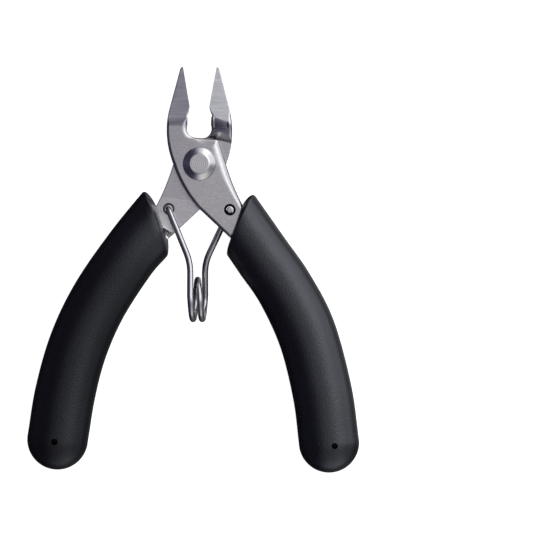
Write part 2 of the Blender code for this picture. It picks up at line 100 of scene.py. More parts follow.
RISE_RIGHT_X, RISE_RIGHT_BROAD = 5, 0.2  # and by this too at its right

# Marks on the steel and the vinyl.
JAW_LINE, BEND_SHADE_LINE = (10.1, 10.3), (8.3, 8.6)  # the front arm's ground face, and the painted shade on its bend, start
RISE_SHADE_LEAST, RISE_SHADE_MOST = 0.3, 0.8  # how dark the painted shade on the rear jaw's rise is
RISE_SHADE_FADE, RISE_SHADE_X = 0.2, 3.4  # it fades by this across, from there
RISE_SHADE_HIGH, RISE_SHADE_HIGH_Y = 0.45, (8.7, 9.5)  # and by this share, up here
RISE_SHADE_START = (1.5, 3.2)  # it starts this far past the line where the rise does
RUBBED, RUBBED_SLOPE, RUBBED_Y = 0.14, 0.128, (-8.36, -8.28)  # the rear arm is brighter below a sloping line
LEFT_HOLE_SHADE = 0.6  # the painted shade in the left spring hole is less dark than in the right
DIMMED_SHEEN_Y = (-14.0, -26.0)  # the left grip's sheen is turned down here, as painted shade

RIVET_BORE_R, SPRING_BORE_R = 2.25, 1.25
SHADE_COLLAR_LOW, SHADE_COLLAR_HIGH, SHADE_COLLAR_GAP = 0.3, 1.0, 0.1  # a dark ring inside each spring hole, around the wire, as painted shade
SHADE_COLLAR_LAP, HOLE_REACH = 0.05, 0.055  # it goes this far into the wall, and the hole's painted shade a little further
RIVET_R, RIVET_SEAT = 2.1, 3.11  # the shank, and how far the head and tail are from the arms' meeting plane
HEAD_R, HEAD_TOP_R, HEAD_WALL, HEAD_HIGH = 3.66, 2.3, 0.58, 1.7
TAIL_R, TAIL_HIGH = 3.1, 0.7
TAIL_TOP_R, TAIL_WALL = TAIL_R * 0.7, TAIL_HIGH * 0.45  # its chamfer runs between these

WIRE_R = 0.7
LEFT_HOLE, RIGHT_HOLE = (-6.9, -9.9), (6.7, -10.15)
LEG_Z = 0.95  # the spring's legs leave the arms at this height
COIL_R, COIL_PITCH = 4.36, 2.04
BEND_Y = -21.8  # where the legs turn parallel
BEND_CUT, KNEE_CUT = 2.4, 0.95  # how far the roundings of the legs' bends and knees reach
HOOK_SHORT = 0.15  # the hooks end this far inside the arms' outer faces
# A wire's rounded end: shares of its radius out from its middle, and back from its end.
WIRE_END = [(0.66, 0.0), (0.78, 0.0), (0.94, 0.08), (1.0, 0.25)]

GRIP_HALF = 5.2  # half the grips' thickness
GRIP_POWER, LIP_POWER, SOCKET_POWER = 2.25, 2.4, 8  # 2 is an ellipse, more is boxier
# The rounding of the grips' mouths reaches this far down at their outer corner, inner corner and sides.
LIP_DEEP, LIP_INNER, LIP_SIDE = 1.75, 0.85, 0.4
LIP_CROWN = 0.15  # the middle of a mouth stands proud by this
SOCKET_MIDDLE, SOCKET_HALF = (8.3, -12.87), (1.37, 3.86)  # the slot in the right grip's mouth
SOCKET_THICK, SOCKET_DEEP, SOCKET_EDGE = 1.66, 3.0, 0.15
RIGHT_SOCKET_Z, LEFT_SOCKET_Z = 1.55, -0.9
DOME_POWER = 0.8  # the grips' ends thin out less than they narrow
GRIP_SHARP = 50  # a grip's creases sharper than this, in degrees, aren't smoothed
TANG_HALF, TANG_END_HALF = 2.9, 2.3
PIN_HOLE_R, PIN_HOLE_DEEP, PIN_HOLE_CONE = 0.62, 3.0, 1.0  # the last is the depth of its pointed bottom
PIN_HOLE_FLARE, PIN_HOLE_LIP = 0.15, 0.2  # its mouth widens by this, over this depth
LEFT_PIN_HOLE, RIGHT_PIN_HOLE = (-31.95, -61.4), (29.9, -62.3)

# Each grip's outer and inner edge, in matching pairs from the mouth to the start of the round end.
LEFT_OUTER = [(-11.25, -4.5), (-19.4, -14.5), (-27.4, -26), (-32.8, -37.05), (-36.3, -49), (-38.2, -60.3)]
LEFT_INNER = [(-7.15, -20.4), (-10.9, -24.7), (-16.9, -34), (-20.85, -43), (-23.2, -52), (-24.8, -61.7)]
RIGHT_OUTER = [(11, -5.1), (18.65, -16), (24.45, -24.3), (29.75, -34.6), (33.65, -49), (35.4, -61.4)]
RIGHT_INNER = [(6.2, -20.3), (8.9, -24.3), (13.5, -31.05), (17.9, -40.7), (20.75, -52.2), (22, -62)]

# ---- Plane curves ----


def unit(vector):
    vector = np.asarray(vector, float)
    return vector / np.linalg.norm(vector)


def arc_points(start, through, end, step):
    """Points after start, up to end, on the circle through three points."""
    (ax, ay), (bx, by), (cx, cy) = start, through, end
    d = 2 * (ax * (by - cy) + bx * (cy - ay) + cx * (ay - by))
    a2, b2, c2 = ax * ax + ay * ay, bx * bx + by * by, cx * cx + cy * cy
    ux = (a2 * (by - cy) + b2 * (cy - ay) + c2 * (ay - by)) / d
    uy = (a2 * (cx - bx) + b2 * (ax - cx) + c2 * (bx - ax)) / d
    radius = math.hypot(ax - ux, ay - uy)
    first = math.atan2(ay - uy, ax - ux)
    turn = math.atan2(cy - uy, cx - ux) - first
    side = math.copysign(1, (bx - ax) * (cy - ay) - (by - ay) * (cx - ax))
    turn = side * ((side * turn) % (2 * math.pi))
    count = max(2, math.ceil(abs(turn) * radius / step))
    angles = [first + turn * (i + 1) / count for i in range(count)]
    return [(ux + radius * math.cos(t), uy + radius * math.sin(t)) for t in angles]


def path(start, runs, step):
    """A point list from runs: (x, y) is a straight line to there, ((x, y), (x, y)) an arc through and to."""
    points = [start]
    for run in runs:
        if isinstance(run[0], tuple):
            points += arc_points(points[-1], run[0], run[1], step)
        else:
            points.append(run)
    return points


def divide(loop, longest):
    """The closed loop with its long straight stretches cut into equal pieces."""
    out = []
    for (x1, y1), (x2, y2) in zip(loop, loop[1:] + loop[:1]):
        count = max(1, math.ceil(math.hypot(x2 - x1, y2 - y1) / longest))
        out += [(x1 + (x2 - x1) * i / count, y1 + (y2 - y1) * i / count) for i in range(count)]
    return out


def smooth_curve(knots, t):
    """The point at t, from 0 to 1, on a Catmull-Rom curve through the knots."""
    knots = np.asarray(knots, float)
    place = min(max(t, 0.0), 1.0) * (len(knots) - 1)
    i = min(int(place), len(knots) - 2)
    u = place - i
    p1, p2 = knots[i], knots[i + 1]
    p0 = knots[i - 1] if i else 2 * p1 - p2
    p3 = knots[i + 2] if i + 2 < len(knots) else 2 * p2 - p1
    bend = (2 * p0 - 5 * p1 + 4 * p2 - p3) * u * u + (3 * p1 - p0 - 3 * p2 + p3) * u**3
    return 0.5 * (2 * p1 + (p2 - p0) * u + bend)


def ease(low, high, value):
    u = min(max((value - low) / (high - low), 0.0), 1.0)
    return u * u * (3 - 2 * u)


def circle(centre, radius, count):
    """A clockwise loop, which a plate takes as a hole."""
    angles = [-2 * math.pi * i / count for i in range(count)]
    return [(centre[0] + radius * math.cos(t), centre[1] + radius * math.sin(t)) for t in angles]


def inside(loop, points):
    """Which of the points lie within the loop."""
    loop = np.asarray(loop)
    x, y = points[:, 0][:, None], points[:, 1][:, None]
    x1, y1 = loop[:, 0], loop[:, 1]
    x2, y2 = np.roll(x1, -1), np.roll(y1, -1)
    crosses = (y1 > y) != (y2 > y)
    height = np.where(y2 == y1, 1.0, y2 - y1)
    return (crosses & (x < x1 + (y - y1) * (x2 - x1) / height)).sum(axis=1) % 2 == 1


def gap_to(loop, points, chunk=1500):
    """Each point's distance to the closed loop."""
    a = np.asarray(loop)
    d = np.roll(a, -1, axis=0) - a
    length2 = (d * d).sum(axis=1)
    gaps = []
    for first in range(0, len(points), chunk):
        ap = points[first : first + chunk, None] - a[None]
        t = np.clip((ap * d).sum(axis=2) / length2, 0, 1)
        off = ap - t[..., None] * d
        gaps.append(np.sqrt((off * off).sum(axis=2)).min(axis=1))
    return np.concatenate(gaps)


# ---- Arms: plates whose faces follow height functions, with rounded edges ----

ROUND_ROWS = (0.05, 0.17, 0.36, 0.63, 1.0)  # rows of points over a rounded edge, as shares of its radius
HOLE_EDGE = 0.06  # rounding of the holes' rims
FLAT_ROW = 0.12  # one more row this far past the rounding keeps its shading off the flat


def inset(loop, amounts):
    """The loop moved into the plate by an amount at each of its points."""
    points = np.asarray(loop, float)
    along = np.roll(points, -1, axis=0) - points
    along /= np.linalg.norm(along, axis=1)[:, None]
    normals = np.stack([-along[:, 1], along[:, 0]], axis=1)
    before = np.roll(normals, 1, axis=0)
    middle = normals + before
    middle /= np.linalg.norm(middle, axis=1)[:, None]
    stretch = np.clip((middle * normals).sum(axis=1), 0.6, 1.0)
    return points + middle * (np.asarray(amounts) / stretch)[:, None]


def lattice(low, high, grid):
    """Points on a triangular grid within a box."""
    return [
        (x + (row % 2) * grid / 2, y)
        for row, y in enumerate(np.arange(low[1], high[1], grid * 0.87))
        for x in np.arange(low[0], high[0], grid)
    ]


def crease_rows(side, start, end, rows, grid):
    """Rows of points across a tang, close together where it steps between two distances from the pivot."""
    out, down = TANG_WAY
    widths = np.arange(-6, 6, grid)
    spans = np.linspace(start, end, rows)
    return [(-side * (out * s + down * w), -down * s + out * w) for s in spans for w in widths]


def plate(loops, top, bottom, edge, spots, steep=None):
    """A closed plate with rounded edges: the first loop is its outline, the others are holes.

    edge(x, y, upper) is the breadth of the outline's rounding, and steep(x, y) its depth for that breadth
    on the upper side, 1 unless given; a hole's rounding is HOLE_EDGE. The spots are the points, besides the
    loops' and the rounded edges', where the faces follow the top and bottom heights.
    """

    def rounding(number, x, y, upper):
        return HOLE_EDGE if number else edge(x, y, upper)

    def deep(x, y, upper):
        return steep(x, y) if steep and upper else 1.0

    def fallen(radii, gaps):
        fall = np.maximum(0.0, radii - gaps)
        return radii - np.sqrt(np.maximum(radii**2 - fall**2, 0.0))

    verts, faces = [], []
    starts = {}
    for upper, height, way in ((False, bottom, 1), (True, top, -1)):
        for number, loop in enumerate(loops):
            starts[upper, number] = len(verts)
            falls = np.array([rounding(number, x, y, upper) for x, y in loop])
            if number:
                outline = np.array([edge(x, y, upper) for x, y in loop])
                falls += fallen(outline, gap_to(loops[0], np.array(loop)))
            for (x, y), fall in zip(loop, falls):
                verts.append((x, y, height(x, y) + way * fall * deep(x, y, upper)))
    for number, loop in enumerate(loops):
        a, b, count = starts[False, number], starts[True, number], len(loop)
        faces += [(a + i, a + (i + 1) % count, b + (i + 1) % count, b + i) for i in range(count)]
    for upper, height, way in ((True, top, -1), (False, bottom, 1)):
        flat, owner, edges = [], [], []
        for number, loop in enumerate(loops):
            first, count = len(flat), len(loop)
            flat += [tuple(p) for p in loop]
            owner += range(starts[upper, number], starts[upper, number] + count)
            edges += [(first + i, first + (i + 1) % count) for i in range(count)]
        extra, least = [np.asarray(spots, float)], [np.full(len(spots), np.inf)]
        for number, loop in enumerate(loops):
            radii = np.array([rounding(number, x, y, upper) for x, y in loop])
            rows = [radii * share for share in ROUND_ROWS] + [radii + FLAT_ROW]
            # Points that would crowd a loop, or each other where it bends inwards, are left out.
            for row in rows:
                keep = row > 0.02
                extra.append(inset(loop, row)[keep])
                least.append(row[keep] * 0.96)
        extra, least = np.concatenate(extra), np.concatenate(least)
        gaps = np.array([gap_to(loop, extra) for loop in loops])
        radii = np.array([[rounding(number, x, y, upper) for x, y in extra] for number in range(len(loops))])
        keep = inside(loops[0], extra)
        flat_enough = (gaps - radii).min(axis=0) > 1.6 * FLAT_ROW
        keep &= np.where(np.isinf(least), flat_enough, gaps.min(axis=0) > least)
        for loop in loops[1:]:
            keep &= ~inside(loop, extra)
        drops = fallen(radii, gaps).sum(axis=0)
        for (x, y), drop in zip(extra[keep], drops[keep]):
            flat.append((x, y))
            owner.append(len(verts))
            verts.append((x, y, height(x, y) + way * drop * deep(x, y, upper)))
        out = delaunay_2d_cdt([Vector(p) for p in flat], edges, [], 1, 1e-6)
        places = [found[0] for found in out[3]]
        triangles = [[places[i] for i in face] for face in out[2]]
        middles = np.array([np.mean([flat[i] for i in face], axis=0) for face in triangles])
        solid = np.ones(len(triangles), bool)
        for loop in loops[1:]:
            solid &= ~inside(loop, middles)
        for face, kept in zip(triangles, solid):
            if kept:
                face = [owner[i] for i in face]
                faces.append(tuple(face if upper else face[::-1]))
    return verts, faces


def radial(radius, side):
    """A point on a cutting edge: side is -1 for the left jaw and 1 for the right."""
    angle = math.radians(BLADE_ANGLE)
    return (side * radius * math.sin(angle), radius * math.cos(angle))


def arm_outline(outer, inner, side, step):
    """An arm whose jaw is on one side and whose tang follows the grip on the other, anticlockwise."""
    knots = list(zip(outer, inner))[1:-1]
    mids = [(np.add(a, b) / 2) for a, b in knots]
    across = [unit(np.subtract(a, b)) for a, b in knots]
    halves = np.linspace(TANG_HALF, TANG_END_HALF, len(mids))
    far = [(m + a * h) * (-side, 1) for m, a, h in zip(mids, across, halves)]
    near = [(m - a * h) * (-side, 1) for m, a, h in zip(mids, across, halves)]
    count = 32
    tang_near = [tuple(smooth_curve(near, i / count)) for i in range(count + 1)]
    tang_far = [tuple(smooth_curve(far, 1 - i / count)) for i in range(count + 1)]
    ends = np.array([tang_near[-1], tang_far[0]])
    nose = tuple(ends.mean(axis=0) + unit(ends[0] - near[-2]) * TANG_END_HALF)
    jaw = [
        ((-4.0, 21.72), (-4.4, 21.2)),
        (-6.7, 12.1),
        ((-7.24, 7.2), (-5.76, -0.1)),
        ((-3.55, -5.1), (-0.3, -9.7)),
        (7.0, -16.55),
    ]
    back = [
        (9.6, -9.2),
        ((7.8, -5.4), (6.15, -0.9)),
        (4.5, 4.3),
        ((4.2, 5.15), (3.4, 5.5)),
        (-0.9, 5.8),
        ((-2.12, 6.3), (-2.7, 8.6)) if side < 0 else ((-1.95, 6.3), (-2.52, 8.6)),
        (-2.68, 10.2) if side < 0 else (-2.6, 10.2),
        (-2.8, 10.75),
        (-2.45, 11.5),
    ]
    left = path(radial(BLADE_TIP, -1), jaw, step) + tang_near
    right = path(tang_far[-1], back, step)
    points = path(left[-1], [(nose, tang_far[0])], step)[:-1]
    points = left + points[1:] + tang_far[:-1] + right + [radial(BLADE_ROOT, -1)]
    points = divide(points, step)
    return points if side < 0 else [(-x, y) for x, y in reversed(points)]


def ground(x, y, side):
    """Height of the plane that a jaw's face is ground to: both are one plane when the tool is closed."""
    angle = math.radians(BLADE_ANGLE)
    along = side * x * math.sin(angle) + y * math.cos(angle)
    return JAW_FACE_Z - math.tan(math.radians(JAW_TILT)) * (along - JAW_FACE_ALONG)


def jaw_back(x, y, face):
    """Height of a jaw's back, with its flank rising to the cutting edge and its tip drawn thin."""
    angle = math.radians(BLADE_ANGLE)
    from_edge = abs(x) * math.cos(angle) - y * math.sin(angle)
    from_edge += ROOT_FADE * max(0.0, ROOT_FADE_Y - y)
    flank = face - EDGE_LAND - FLANK * max(0.0, from_edge)
    tip_y = BLADE_TIP * math.cos(angle)
    tip = face - TIP_LAND - TIP_SLOPE * max(0.0, tip_y - y)
    return max(flank, tip)


def flank_rows(side, step):
    """Points along a cutting edge, and along the crease behind its flank."""
    angle = math.radians(BLADE_ANGLE)
    crease = (JAW_THICK - EDGE_LAND) / FLANK
    spots = []
    for along in np.arange(BLADE_ROOT - 0.6, BLADE_TIP, step):
        for across in (crease * 0.3, crease * 0.65, crease - 0.03, crease + 0.03):
            x = along * math.sin(angle) + across * math.cos(angle)
            spots.append((side * x, along * math.cos(angle) - across * math.sin(angle)))
    for y in np.arange(BLADE_ROOT - 1.2, ROOT_FADE_Y, step / 2):
        across = crease - ROOT_FADE * (ROOT_FADE_Y - y)
        spots.append((side * (across + y * math.sin(angle)) / math.cos(angle), y))
    return spots


def joggle(x, y, side, span):
    """How far a tang has stepped towards the middle of its grip, over a span of distances from the pivot."""
    out, down = TANG_WAY
    return (PLATE / 2 + SEAT) * ease(*span, -side * out * x - down * y)


def front_top(x, y):
    start, end = FRONT_BEND
    bend = min(max((y - start) / (end - start), 0.0), 1.0)
    face = FACE - FACE_BOW * (1 - math.exp(-(((x - y) / FACE_BOW_REACH) ** 2))) * (1 - bend)
    rolled = face - (face - ground(x, end, -1)) * bend**2
    return (ground(x, y, -1) if y > end else rolled) - joggle(x, y, -1, FRONT_JOGGLE)


def front_bottom(x, y):
    face = ground(x, y, -1)
    back = min(SEAT, face - JAW_THICK)
    if y > FRONT_BEND[1]:
        back = max(back, jaw_back(x, y, face))
    return back - joggle(x, y, -1, FRONT_JOGGLE)


def above_rise(x, y):
    """Distance past the line where the rear arm's jaw starts to rise in front of its plate."""
    return y - REAR_RISE_Y - REAR_RISE_SLOPE * (x - REAR_RISE_X)


def rear_rise(x, y):
    """Height of the rear jaw's rise, before its face is ground: it leans over towards the throat."""
    share = min(max(above_rise(x, y) / REAR_LIFT_LONG, 0.0), 1.0)
    lean = REAR_LEAN * max(0.0, REAR_LEAN_X - x) ** 2
    step = REAR_STEP * ease(0.0, REAR_STEP_LONG, above_rise(x, y))
    pocket = POCKET_DEEP * (ease(*POCKET_LEFT, x) * ease(*POCKET_RIGHT, x) * ease(*POCKET_LOW, y))
    return (REAR_LIFT - lean) * (1 - (1 - share) ** 2) + step - SEAT - pocket


def rise_rows(x):
    """Where the rear jaw's rise starts, and close to its ground face's lower edge, at a distance across."""
    start = REAR_RISE_Y + REAR_RISE_SLOPE * (x - REAR_RISE_X)
    low, high = start + 2.0, BLADE_ROOT + 0.2
    for _ in range(30):
        middle = (low + high) / 2
        low, high = (middle, high) if rear_rise(x, middle) < ground(x, middle, 1) else (low, middle)
    return [start + past for past in (-0.03, 0.06, 0.13, 0.2, 0.28)] + [low - 0.03, low + 0.03]


def rear_top(x, y):
    lift = min(rear_rise(x, y), ground(x, y, 1)) if x > 0 else -SEAT
    return lift + joggle(x, y, 1, REAR_JOGGLE)


def rear_bottom(x, y):
    back = -FACE
    start, end = REAR_BACK
    if x > 0 and y > start:
        hump = ground(x, max(y, end), 1) - JAW_THICK
        back = -FACE + (hump + FACE) * ease(start, end, y)
        if y > FRONT_BEND[1]:
            back = max(back, jaw_back(x, y, ground(x, y, 1)))
    return back + joggle(x, y, 1, REAR_JOGGLE)


def ground_share(x, y):
    """1 where the rear jaw's face is ground and 0 where it is the bare rise."""
    return ease(-0.04, 0.04, rear_rise(x, y) - ground(x, y, 1))


def rise_shade(x, y, z):
    """Painted shade on the rear jaw's rise: darkest towards the throat, and less up by the ground face."""
    if x <= 0:
        return 0.0
    shade_share = min(max(RISE_SHADE_MOST - RISE_SHADE_FADE * (x - RISE_SHADE_X), RISE_SHADE_LEAST), RISE_SHADE_MOST)
    shade_share *= 1 - RISE_SHADE_HIGH * ease(*RISE_SHADE_HIGH_Y, y)
    return shade_share * (1 - ground_share(x, y)) * ease(*RISE_SHADE_START, above_rise(x, y))


def on_blade(x, y):
    """Whether a point of an outline is at a cutting edge or its tip."""
    angle = math.radians(BLADE_ANGLE)
    from_edge = abs(x) * math.cos(angle) - y * math.sin(angle)
    return y > BLADE_ROOT * math.cos(angle) - BLADE_NEAR and from_edge < BLADE_NEAR


def rightward(x, y):
    """How far a point is from the pivot, square to the front arm's right side."""
    return 0.83 * x + 0.55 * y


def front_broad(x, y):
    """Shares of the broad roundings on the front: the body's right side, and the throat's left wall."""
    throat = ease(*THROAT_Y[0], y) * ease(*THROAT_Y[1], y) * ease(*THROAT_X[0], x) * ease(*THROAT_X[1], x)
    return ease(*RIGHT_SIDE, rightward(x, y)), throat


def front_edge(x, y, upper):
    """Breadth of the rounding of the front arm's edges."""
    if on_blade(x, y):
        return BLADE_EDGE
    if not upper:
        return BACK_JAW_EDGE if y > BACK_JAW_Y else BACK_EDGE
    right, throat = front_broad(x, y)
    left = ease(*LEFT_SIDE, rightward(x, y))
    body = BODY_EDGE + LEFT_BROAD * left + RIGHT_BROAD * right + THROAT_BROAD * throat
    return JAW_EDGE + (body - JAW_EDGE) * ease(*FRONT_JAW_Y, y)


def front_steep(x, y):
    """How deep the rounding of the front arm's edges is, for its breadth."""
    return 1 - FLATTER * max(front_broad(x, y)) * ease(*FRONT_JAW_Y, y)


def rear_edge(x, y, upper):
    """Breadth of the rounding of the rear arm's edges."""
    if on_blade(x, y):
        return BLADE_EDGE
    if not upper:
        return BACK_EDGE
    rise = ease(*RISE_Y[0], y) * ease(*RISE_Y[1], y)
    return JAW_EDGE + (RISE_BROAD + RISE_RIGHT_BROAD * (x > RISE_RIGHT_X)) * rise


def in_hole(x, y, hole):
    """Whether a point is on the wall or dark ring of a spring's hole, where shade is painted."""
    return math.hypot(x - hole[0], y - hole[1]) < SPRING_BORE_R + HOLE_REACH


def shade_collar(centre, low, high, count):
    """A dark ring in a spring's hole, between two heights, put there as painted shade."""
    inner, outer = WIRE_R + SHADE_COLLAR_GAP, SPRING_BORE_R + SHADE_COLLAR_LAP
    corners = [(inner, high), (inner, low), (outer, low), (outer, high)]
    verts, faces = [], []
    for k in range(count):
        angle = 2 * math.pi * k / count
        verts += [(centre[0] + r * math.cos(angle), centre[1] + r * math.sin(angle), z) for r, z in corners]
        a, b = k * 4, (k + 1) % count * 4
        faces += [(a + j, b + j, b + (j + 1) % 4, a + (j + 1) % 4) for j in range(4)]
    return verts, faces


def together(first, second):
    """Two shapes as one."""
    start = len(first[0])
    return first[0] + second[0], first[1] + [tuple(i + start for i in face) for face in second[1]]


def front_arm_mesh(step):
    """The front arm, with finer points on its jaw, and the dark ring of painted shade in its spring hole."""
    outline = arm_outline(RIGHT_OUTER, RIGHT_INNER, -1, step)
    loops = [outline, circle((0, 0), RIVET_BORE_R, 48), circle(RIGHT_HOLE, SPRING_BORE_R, 40)]
    spots = lattice((-8, 7.6), (0, 22), step) + lattice((-8, -14), (11, 7.6), 0.8)
    spots += flank_rows(-1, step / 2) + crease_rows(-1, *FRONT_JOGGLE, 12, 0.5)
    body = plate(loops, front_top, front_bottom, front_edge, spots, front_steep)
    return together(body, shade_collar(RIGHT_HOLE, SEAT + SHADE_COLLAR_LOW, SEAT + SHADE_COLLAR_HIGH, 40))


def rear_arm_mesh(step):
    """The rear arm, with finer points on its jaw, and the dark ring of painted shade in its spring hole."""
    outline = arm_outline(LEFT_OUTER, LEFT_INNER, 1, step)
    loops = [outline, circle((0, 0), RIVET_BORE_R, 48), circle(LEFT_HOLE, SPRING_BORE_R, 40)]
    spots = lattice((1, 3), (8, 22), step)
    spots += [(x, y) for x in np.arange(1, 8, step / 2) for y in rise_rows(x)]
    sides = [*np.linspace(*POCKET_LEFT, 4), *np.linspace(*POCKET_RIGHT, 4)]
    spots += [(x, y) for x in sides for y in np.arange(POCKET_LOW[0], 12, step / 2)]
    middles = np.arange(POCKET_LEFT[0] + 0.1, POCKET_RIGHT[0], step / 2)
    spots += [(x, y) for x in middles for y in np.linspace(*POCKET_LOW, 4)]
    spots += flank_rows(1, step / 2) + crease_rows(1, *REAR_JOGGLE, 12, 0.5)
    body = plate(loops, rear_top, rear_bottom, rear_edge, spots)
    return together(body, shade_collar(LEFT_HOLE, SHADE_COLLAR_LOW - FACE, SHADE_COLLAR_HIGH - FACE, 40))


# ---- Lofts, turned pieces and the spring ----


def loft(rings):
    """A closed skin over rings of equal length, with a flat cap at each end."""
    count = len(rings[0])
    verts = [tuple(p) for ring in rings for p in ring]
    faces = [tuple(range(count))[::-1], tuple(range(len(verts) - count, len(verts)))]
    for k in range(len(rings) - 1):
        a, b = k * count, (k + 1) * count
        faces += [(a + i, a + (i + 1) % count, b + (i + 1) % count, b + i) for i in range(count)]
    return verts, faces


def grip_mesh(outer, inner, socket_z, sections, around):
    """A grip: rounded boxy sections from a slot in its rolled mouth to a domed end."""
    flip = 1 if outer[0][0] > 0 else -1

    def ring(centre, half, thick, power=GRIP_POWER, z=0.0):
        points = []
        for i in range(around):
            angle = flip * 2 * math.pi * (i + 0.5) / around
            c, s = math.cos(angle), math.sin(angle)
            across = math.copysign(abs(c) ** (2 / power), c)
            upward = math.copysign(abs(s) ** (2 / power), s)
            x, y = centre + half * across
            points.append((x, y, z + thick * upward))
        return np.array(points)

    def section(t):
        o, i = smooth_curve(outer, t), smooth_curve(inner, t)
        return (o + i) / 2, (o - i) / 2

    short = 0.1
    mouthward = section(0)[0] - section(short)[0]
    first = short * LIP_DEEP / np.linalg.norm(mouthward)
    mouthward = unit(mouthward)
    up = np.array([*mouthward, 0])
    centre, half = section(first)
    full = ring(centre + mouthward * LIP_DEEP, half, GRIP_HALF)
    slot_at = np.array(SOCKET_MIDDLE) * (flip, 1)
    slot_at = slot_at + mouthward * (LIP_CROWN + LIP_DEEP + (centre - slot_at).dot(mouthward))
    slot = ring(slot_at, np.array(SOCKET_HALF) * (flip, 1), SOCKET_THICK, SOCKET_POWER, socket_z)
    rings = [slot - up * SOCKET_DEEP, slot - up * SOCKET_EDGE]
    outward = np.cos(2 * math.pi * (np.arange(around) + 0.5) / around)
    lip = LIP_SIDE + outward**2 * (np.where(outward > 0, LIP_DEEP, LIP_INNER) - LIP_SIDE)
    for turn in np.radians(np.linspace(0, 90, 16)):
        spread = math.sin(turn) ** (2 / LIP_POWER)
        deep = 1 - math.cos(turn) ** (2 / LIP_POWER)
        rings.append(slot + (full - slot) * spread - np.outer((lip + LIP_CROWN * (1 - spread)) * deep, up))
    for k in range(1, sections + 1):
        rings.append(ring(*section(first + (1 - first) * k / sections), GRIP_HALF))
    centre, half = section(1)
    away = unit((half[1], -half[0])) * flip
    if away[1] > 0:
        away = -away
    reach = np.linalg.norm(half)
    for angle in np.radians(np.linspace(4, 88, 22)):
        shrink = math.cos(angle)
        thick = GRIP_HALF * shrink**DOME_POWER
        rings.append(ring(centre + away * reach * math.sin(angle), half * shrink, thick))
    return loft(rings)


def turned(profile, count):
    """A solid of revolution about Z from (radius, z) points, from its top centre to its bottom centre."""
    verts = [(0, 0, profile[0][1])]
    for radius, z in profile[1:-1]:
        angles = [2 * math.pi * i / count for i in range(count)]
        verts += [(radius * math.cos(t), radius * math.sin(t), z) for t in angles]
    verts.append((0, 0, profile[-1][1]))
    faces = []
    rows = len(profile) - 2
    for i in range(count):
        j = (i + 1) % count
        faces.append((0, 1 + i, 1 + j))
        for k in range(rows - 1):
            a, b = 1 + k * count, 1 + (k + 1) * count
            faces.append((a + i, b + i, b + j, a + j))
        last = 1 + (rows - 1) * count
        faces.append((len(verts) - 1, last + j, last + i))
    return verts, faces


def rounded_corners(points, radii, steps):
    """A polyline whose inner corners are turned into arcs by quadratic curves."""
    points = [np.asarray(p, float) for p in points]
    out = [points[0]]
    for before, corner, after, cut in zip(points, points[1:], points[2:], radii):
        a = corner + unit(before - corner) * cut
        b = corner + unit(after - corner) * cut
        for k in range(steps + 1):
            u = k / steps
            out.append((1 - u) ** 2 * a + 2 * u * (1 - u) * corner + u * u * b)
    return out + [points[-1]]


def rivet_mesh(count):
    """A rivet: a tapered flat head in front, a shank through both arms and a chamfered tail behind."""
    top, wall = RIVET_SEAT + HEAD_HIGH, RIVET_SEAT + HEAD_WALL
    corners = [
        (HEAD_TOP_R - 0.5, top),
        (HEAD_TOP_R, top),
        (HEAD_R, wall),
        (HEAD_R, RIVET_SEAT),
        (RIVET_R, RIVET_SEAT),
        (RIVET_R, -RIVET_SEAT),
        (TAIL_R, -RIVET_SEAT),
        (TAIL_R, -RIVET_SEAT - TAIL_WALL),
        (TAIL_TOP_R, -RIVET_SEAT - TAIL_HIGH),
        (0.6, -RIVET_SEAT - TAIL_HIGH),
    ]
    cuts = [0.3, 0.14, 0.04, 0.03, 0.03, 0.04, 0.14, 0.14]
    side = [tuple(p) for p in rounded_corners(corners, cuts, 4)]
    return turned([(0.0, top), (HEAD_TOP_R - 0.8, top)] + side + [(0.0, -RIVET_SEAT - TAIL_HIGH)], count)


def pin_hole(centre, count):
    """The space of a grip's pin hole, from above its front, with a flared mouth and a pointed bottom."""
    above = 1.0
    profile = [
        (0.0, GRIP_HALF + above),
        (PIN_HOLE_R + PIN_HOLE_FLARE + above, GRIP_HALF + above),
        (PIN_HOLE_R + PIN_HOLE_FLARE, GRIP_HALF),
        (PIN_HOLE_R, GRIP_HALF - PIN_HOLE_LIP),
        (PIN_HOLE_R, GRIP_HALF - PIN_HOLE_DEEP),
        (0.0, GRIP_HALF - PIN_HOLE_DEEP - PIN_HOLE_CONE),
    ]
    verts, faces = turned(profile, count)
    return [(x + centre[0], y + centre[1], z) for x, y, z in verts], faces


def spring_half_path(hole, front, steps):
    """From the middle of the coil out to the hook in an arm; front is 1 for the leg in front, -1 behind."""
    reach = math.hypot(hole[1] - COIL[1], LEG_Z)
    touch = math.atan2(LEG_Z, hole[1] - COIL[1]) + math.acos(COIL_R / reach)
    end = 2 * math.pi - touch
    coil = []
    for k in range(steps + 1):
        angle = end * k / steps
        x = COIL[0] - front * COIL_PITCH * angle / (2 * math.pi)
        coil.append((x, COIL[1] + COIL_R * math.cos(angle), -front * COIL_R * math.sin(angle)))
    x, y, z = coil[-1]
    share = (y - BEND_Y) / (y - hole[1])
    bend = (x, BEND_Y, z + (front * LEG_Z - z) * share)
    knee = (hole[0], hole[1], front * LEG_Z)
    hook = (hole[0], hole[1], -front * (FACE - HOOK_SHORT))
    return coil[:-1] + rounded_corners([coil[-1], bend, knee, hook], [BEND_CUT, KNEE_CUT], 12)


